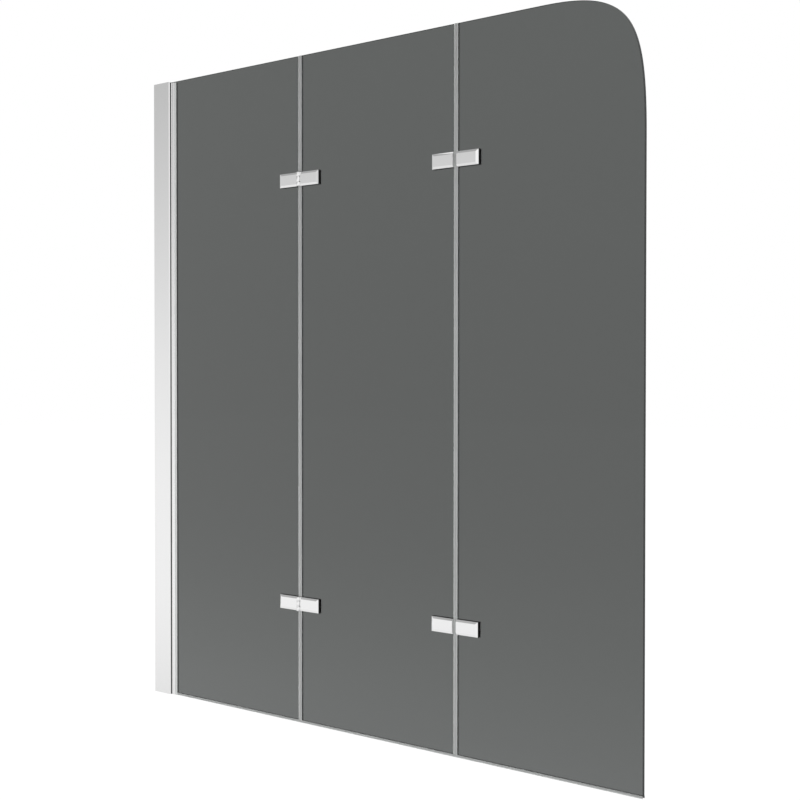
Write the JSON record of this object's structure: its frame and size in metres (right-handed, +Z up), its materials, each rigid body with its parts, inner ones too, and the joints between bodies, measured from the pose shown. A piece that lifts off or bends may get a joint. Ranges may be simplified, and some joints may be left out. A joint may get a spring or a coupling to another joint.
{
  "type": "folding bath screen",
  "caption": "Folding bath screen of tinted glass panels in one plane, joined by bevelled pivot hinges and held by a telescoping wall profile; the free top corner is rounded.",
  "frame": {"origin": "on the wall plane, in the middle of the glass thickness, at half the height: the middle of the line of wall screw holes", "axes": "+X along the screen away from the wall, +Z up, -Y the front that faces the room, +Y the bath side"},
  "size_m": [1.3, 0.0275, 1.4],
  "materials": {
    "anodised_aluminium": "bright polished and anodised",
    "chrome": "polished chrome plating",
    "tinted_glass": "dark grey tinted safety glass, polished",
    "seal_plastic": "soft translucent grey plastic",
    "gasket_rubber": "soft pale grey rubber",
    "pad_rubber": "black rubber, matte",
    "setting_block_rubber": "black rubber, matte",
    "stainless_steel": "plain stainless steel",
    "bush_plastic": "white bearing plastic"
  },
  "bodies": {
    "wall_mount": {"wall_profile": "anodised_aluminium", "mouth_strips": "pad_rubber", "wall_profile_end_caps": "anodised_aluminium", "adjusting_screws": "stainless_steel", "clamp_nuts": "stainless_steel", "adjusting_screw_covers": "chrome"},
    "panel_1": {"glass_profile": "anodised_aluminium", "glazing_gasket_front": "gasket_rubber", "glazing_gasket_rear": "gasket_rubber", "setting_blocks": "setting_block_rubber", "glass_panel_1": "tinted_glass", "bottom_seal_1": "seal_plastic", "seam_seal_1_left": "seal_plastic", "inner_upper_front_plate_left": "chrome", "inner_upper_rear_plate_left": "chrome", "inner_upper_pads_left": "pad_rubber", "inner_upper_screws_left": "stainless_steel", "inner_upper_bushes": "bush_plastic", "inner_lower_front_plate_left": "chrome", "inner_lower_rear_plate_left": "chrome", "inner_lower_pads_left": "pad_rubber", "inner_lower_screws_left": "stainless_steel", "inner_lower_bushes": "bush_plastic"},
    "panel_2": {"glass_panel_2": "tinted_glass", "bottom_seal_2": "seal_plastic", "seam_seal_1_right": "seal_plastic", "seam_seal_2_left": "seal_plastic", "inner_upper_front_plate_right": "chrome", "inner_upper_rear_plate_right": "chrome", "inner_upper_pads_right": "pad_rubber", "inner_upper_screws_right": "stainless_steel", "inner_upper_pin": "stainless_steel", "inner_lower_front_plate_right": "chrome", "inner_lower_rear_plate_right": "chrome", "inner_lower_pads_right": "pad_rubber", "inner_lower_screws_right": "stainless_steel", "inner_lower_pin": "stainless_steel", "outer_upper_front_plate_left": "chrome", "outer_upper_rear_plate_left": "chrome", "outer_upper_pads_left": "pad_rubber", "outer_upper_screws_left": "stainless_steel", "outer_upper_bushes": "bush_plastic", "outer_lower_front_plate_left": "chrome", "outer_lower_rear_plate_left": "chrome", "outer_lower_pads_left": "pad_rubber", "outer_lower_screws_left": "stainless_steel", "outer_lower_bushes": "bush_plastic"},
    "panel_3": {"glass_panel_3": "tinted_glass", "bottom_seal_3": "seal_plastic", "seam_seal_2_right": "seal_plastic", "outer_upper_front_plate_right": "chrome", "outer_upper_rear_plate_right": "chrome", "outer_upper_pads_right": "pad_rubber", "outer_upper_screws_right": "stainless_steel", "outer_upper_pin": "stainless_steel", "outer_lower_front_plate_right": "chrome", "outer_lower_rear_plate_right": "chrome", "outer_lower_pads_right": "pad_rubber", "outer_lower_screws_right": "stainless_steel", "outer_lower_pin": "stainless_steel"}
  },
  "joints": [
    {"name": "width_adjust", "type": "slide", "parent": "wall_mount", "child": "panel_1", "axis": [1, 0, 0], "range_m": [-0.008, 0.008]},
    {"name": "inner_fold", "type": "hinge", "parent": "panel_1", "child": "panel_2", "pos_m": [0.4668, -0.0093, 0], "axis": [0, 0, -1], "range_deg": [0, 175]},
    {"name": "outer_fold", "type": "hinge", "parent": "panel_2", "child": "panel_3", "pos_m": [0.8857, 0.0093, 0], "axis": [0, 0, 1], "range_deg": [0, 175]}
  ]
}
